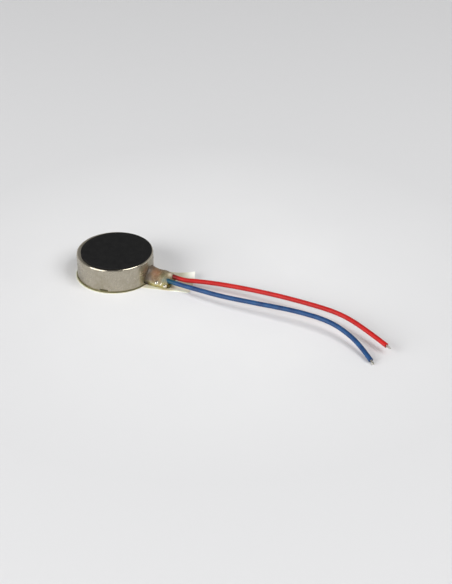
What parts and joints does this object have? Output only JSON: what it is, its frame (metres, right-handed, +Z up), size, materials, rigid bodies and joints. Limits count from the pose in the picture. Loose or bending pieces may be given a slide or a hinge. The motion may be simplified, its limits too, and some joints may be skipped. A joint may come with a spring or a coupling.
{
  "type": "vibration coin motor",
  "caption": "Flat round brushed vibration motor: steel can with a foam pad on top, an eccentric rotor on a fixed shaft inside, a peel-off adhesive base and a red and a blue wire lead.",
  "frame": {"origin": "on the rotor axis, at the underside of the release liner", "axes": "+Z up along the rotor shaft towards the foam pad, +X along the tab towards the leads"},
  "size_m": [0.0439, 0.0126, 0.0036],
  "materials": {
    "can_metal": "satin nickel-plated drawn steel",
    "plate_metal": "satin",
    "shaft_steel": "polished",
    "magnet_plating": "nickel plated",
    "spring_brass": "bright",
    "solder": "bright solder",
    "washer_plastic": "matte",
    "adhesive": "olive double-sided adhesive",
    "liner_paper": "siliconised cream paper",
    "foam": "matte closed-cell foam",
    "polyimide": "amber film",
    "copper": "bare copper",
    "potting_glue": "translucent brown glue",
    "red_insulation": "semi-gloss",
    "blue_insulation": "semi-gloss",
    "tinned_wire": "tinned strands",
    "sintered_bronze": "sintered, oiled",
    "board": "green laminate",
    "tungsten": "sintered heavy alloy",
    "resin": "black moulding resin"
  },
  "bodies": {
    "stator": {"can": "can_metal", "base_plate": "plate_metal", "flex_circuit": "polyimide", "flex_lands": "copper", "ring_magnet": "magnet_plating", "shaft": "shaft_steel", "brush_a": "spring_brass", "brush_b": "spring_brass", "brush_solder_joints": "solder", "lower_thrust_washer": "washer_plastic", "upper_thrust_washer": "washer_plastic", "adhesive_tape": "adhesive", "release_liner": "liner_paper", "foam_pad": "foam", "pad_adhesive": "adhesive", "lead_potting": "potting_glue", "red_lead": "red_insulation", "blue_lead": "blue_insulation", "red_lead_core": "tinned_wire", "blue_lead_core": "tinned_wire", "red_lead_tip": "tinned_wire", "blue_lead_tip": "tinned_wire", "red_solder_joint": "solder", "blue_solder_joint": "solder"},
    "rotor": {"bearing_bush": "sintered_bronze", "commutator_board": "board", "commutator_segments": "copper", "coil_1": "copper", "coil_2": "copper", "coil_solder_joints": "solder", "counterweight": "tungsten", "rotor_resin": "resin"}
  },
  "joints": [
    {"name": "rotor_spin", "type": "hinge", "parent": "stator", "child": "rotor", "pos_m": [0, 0, 0], "axis": [0, 0, 1], "continuous": true}
  ]
}
